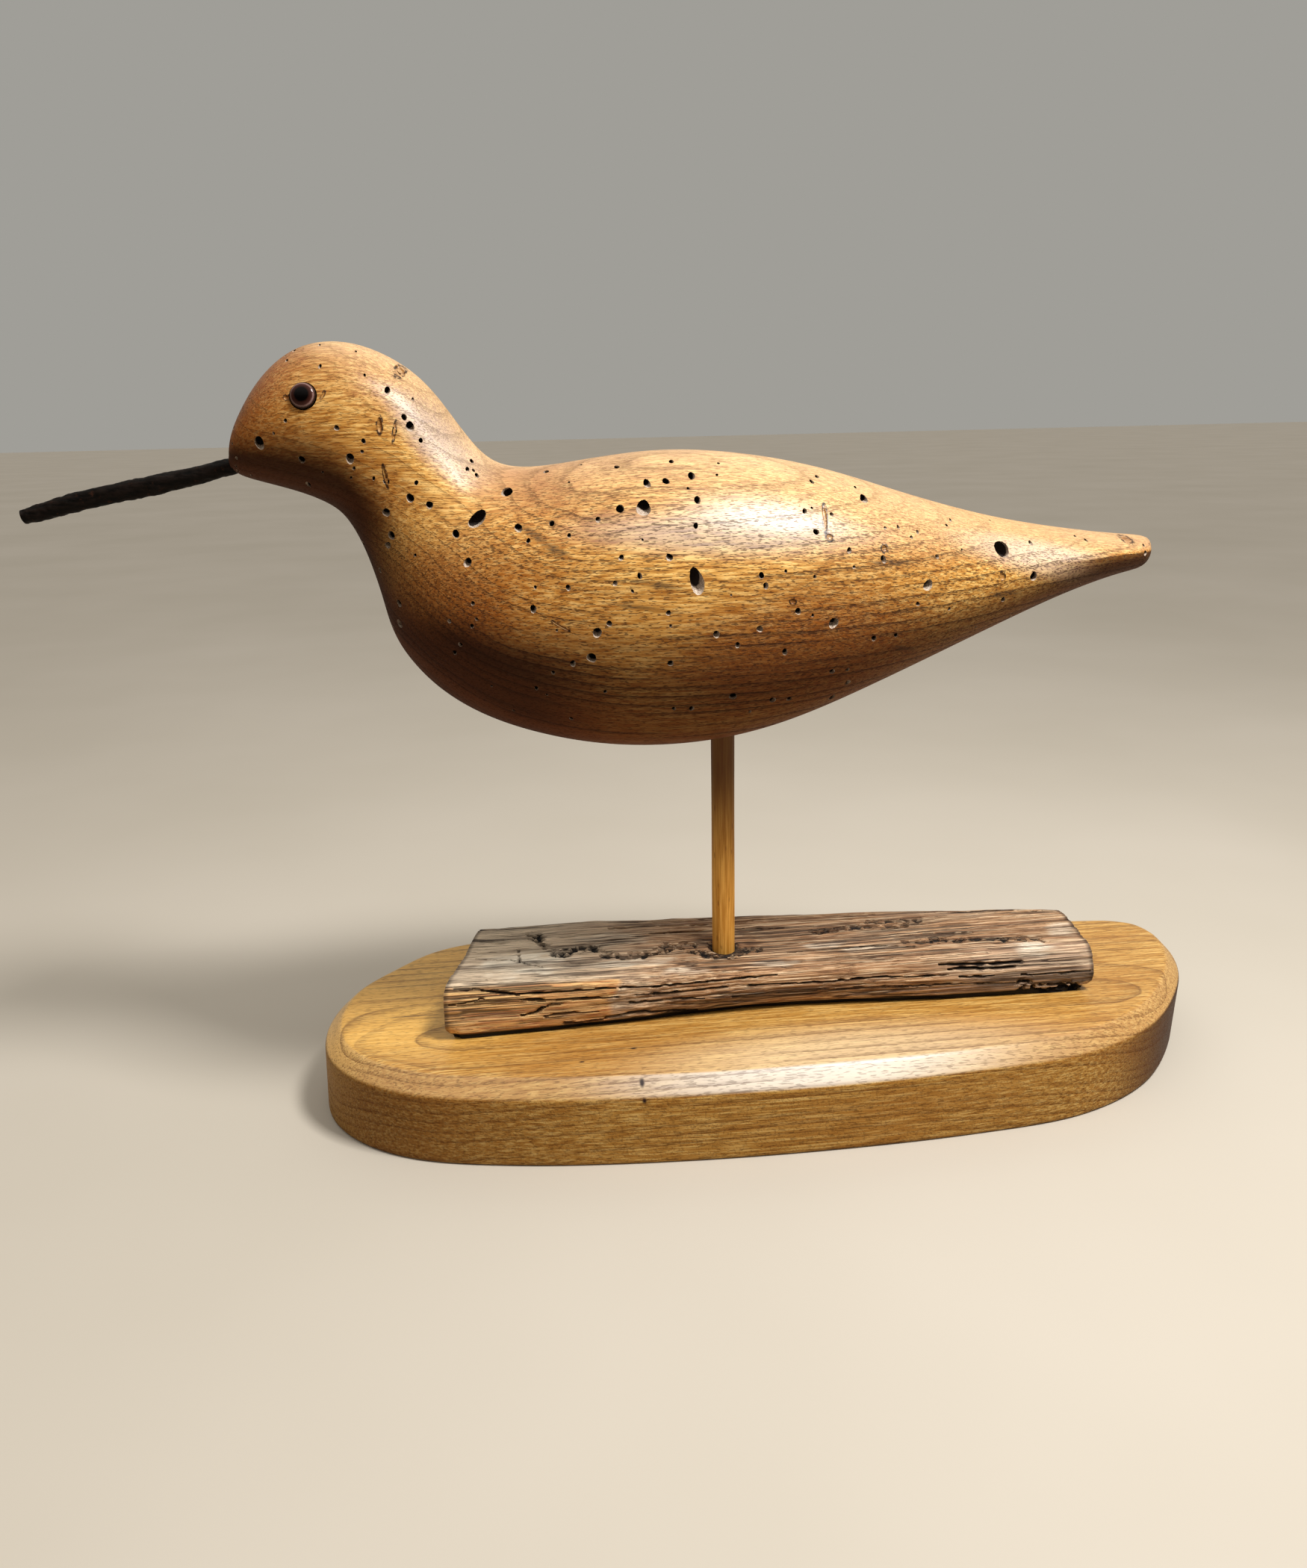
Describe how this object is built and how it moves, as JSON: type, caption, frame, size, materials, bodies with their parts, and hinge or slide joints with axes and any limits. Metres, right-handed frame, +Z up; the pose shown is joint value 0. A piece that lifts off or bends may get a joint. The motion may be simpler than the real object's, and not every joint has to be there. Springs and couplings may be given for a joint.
{
  "type": "carved shorebird decoy",
  "caption": "Carved wooden shorebird decoy with a twig bill and glass eyes, on one dowel leg set in driftwood on a bevelled oval board.",
  "frame": {"origin": "middle of the board's flat underside", "axes": "+Z up, the bird and its bill look along -X, -Y is the side that faces the viewer"},
  "size_m": [0.3969, 0.1243, 0.2544],
  "materials": {
    "carved_wood": "oiled and rubbed, golden tan above and brown below, with wormholes and dark pores",
    "bill_twig": "nearly black bark of a thin twig, dull",
    "eye_glass": "polished dome, dark brown with a black pupil",
    "dowel_wood": "plain turned dowel, orange tan, half matt",
    "driftwood": "weathered and waxed, grooved along the grain, greyish brown with pale worn patches",
    "board_wood": "stained and satin varnished, golden tan with dark grain"
  },
  "bodies": {
    "root": {"bird": "carved_wood", "bill": "bill_twig", "eye_left": "eye_glass", "eye_right": "eye_glass", "leg": "dowel_wood", "driftwood": "driftwood", "base": "board_wood"}
  },
  "joints": []
}
